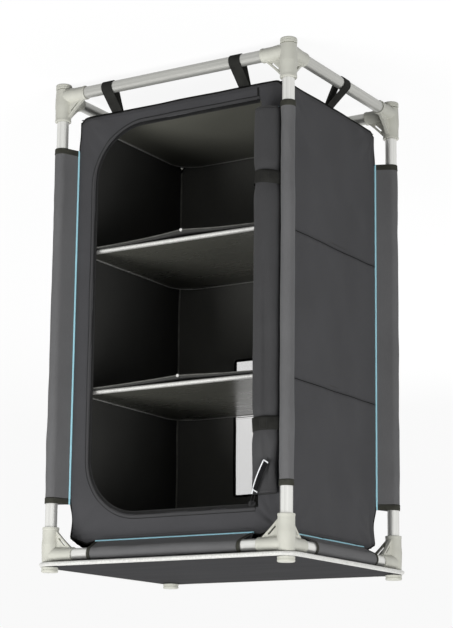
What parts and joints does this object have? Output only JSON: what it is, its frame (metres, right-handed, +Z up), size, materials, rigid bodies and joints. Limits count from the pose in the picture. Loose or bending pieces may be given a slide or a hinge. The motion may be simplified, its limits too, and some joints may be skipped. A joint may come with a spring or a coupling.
{
  "type": "camp kitchen cupboard",
  "caption": "Fabric camp kitchen cupboard: aluminium tube frame with moulded corners, hard tabletop, hanging cloth box with stiff shelves and a rolled-up zip door.",
  "frame": {"origin": "centre of the footprint, on the floor under the four foot caps", "axes": "+Z up along the legs; -Y out through the open door at the front; +X to the right of someone who faces the door"},
  "size_m": [0.608, 0.502, 1.04],
  "materials": {
    "tube_aluminium": "satin anodised",
    "connector_plastic": "warm grey, fine moulded texture",
    "board_dark": "dark laminate, half gloss",
    "trim_aluminium": "bright drawn edge trim",
    "cloth_grey": "plain-woven polyester",
    "webbing_black": "ribbed webbing",
    "zip_black": "coil zip on tape",
    "slider_metal": "plated",
    "pull_tape": "folded tape",
    "window_film": "milky flexible film"
  },
  "bodies": {
    "frame_and_box": {"bottom_corner_fl": "connector_plastic", "bottom_corner_fr": "connector_plastic", "bottom_corner_rl": "connector_plastic", "bottom_corner_rr": "connector_plastic", "bottom_rail_front": "tube_aluminium", "bottom_rail_left": "tube_aluminium", "bottom_rail_rear": "tube_aluminium", "bottom_rail_right": "tube_aluminium", "door_roll": "cloth_grey", "door_strap_lower": "webbing_black", "door_strap_upper": "webbing_black", "floor_panel": "cloth_grey", "foot_cap_fl": "connector_plastic", "foot_cap_fr": "connector_plastic", "foot_cap_rl": "connector_plastic", "foot_cap_rr": "connector_plastic", "front_panel": "cloth_grey", "leg_sleeve_fl": "cloth_grey", "leg_sleeve_fr": "cloth_grey", "leg_sleeve_rl": "cloth_grey", "leg_sleeve_rr": "cloth_grey", "leg_tube_fl": "tube_aluminium", "leg_tube_fr": "tube_aluminium", "leg_tube_rl": "tube_aluminium", "leg_tube_rr": "tube_aluminium", "lower_shelf_sling": "cloth_grey", "rail_tunnel_front": "cloth_grey", "rail_tunnel_left": "cloth_grey", "rail_tunnel_rear": "cloth_grey", "rail_tunnel_right": "cloth_grey", "rear_panel": "cloth_grey", "rear_window": "window_film", "side_panel_left": "cloth_grey", "side_panel_right": "cloth_grey", "top_corner_fl": "connector_plastic", "top_corner_fr": "connector_plastic", "top_corner_rl": "connector_plastic", "top_corner_rr": "connector_plastic", "top_panel": "cloth_grey", "top_rail_front": "tube_aluminium", "top_rail_left": "tube_aluminium", "top_rail_rear": "tube_aluminium", "top_rail_right": "tube_aluminium", "upper_shelf_sling": "cloth_grey", "zip_slider": "slider_metal", "zip_track": "zip_black"},
    "tabletop": {"tabletop_board": "board_dark", "tabletop_trim": "trim_aluminium", "tabletop_knob_fl": "connector_plastic", "tabletop_knob_fr": "connector_plastic", "tabletop_knob_rr": "connector_plastic", "tabletop_knob_rl": "connector_plastic"},
    "upper_shelf": {"upper_shelf_board": "board_dark", "upper_shelf_trim": "trim_aluminium"},
    "lower_shelf": {"lower_shelf_board": "board_dark", "lower_shelf_trim": "trim_aluminium"},
    "floor_board": {"floor_board": "board_dark", "floor_trim": "trim_aluminium"},
    "zip_pull": {"zip_pull": "pull_tape"}
  },
  "joints": [
    {"name": "tabletop_lift", "type": "slide", "parent": "frame_and_box", "child": "tabletop", "axis": [0, 0, 1], "range_m": [0, 0.15]},
    {"name": "upper_shelf_lift", "type": "slide", "parent": "frame_and_box", "child": "upper_shelf", "axis": [0, 0, 1], "range_m": [0, 0.285]},
    {"name": "lower_shelf_lift", "type": "slide", "parent": "frame_and_box", "child": "lower_shelf", "axis": [0, 0, 1], "range_m": [0, 0.27]},
    {"name": "floor_board_lift", "type": "slide", "parent": "frame_and_box", "child": "floor_board", "axis": [0, 0, 1], "range_m": [0, 0.26]},
    {"name": "zip_pull_swing", "type": "hinge", "parent": "frame_and_box", "child": "zip_pull", "pos_m": [-0.188, -0.2041, 0.922], "axis": [-0.8357, 0, 0.5492], "range_deg": [0, 120]}
  ]
}
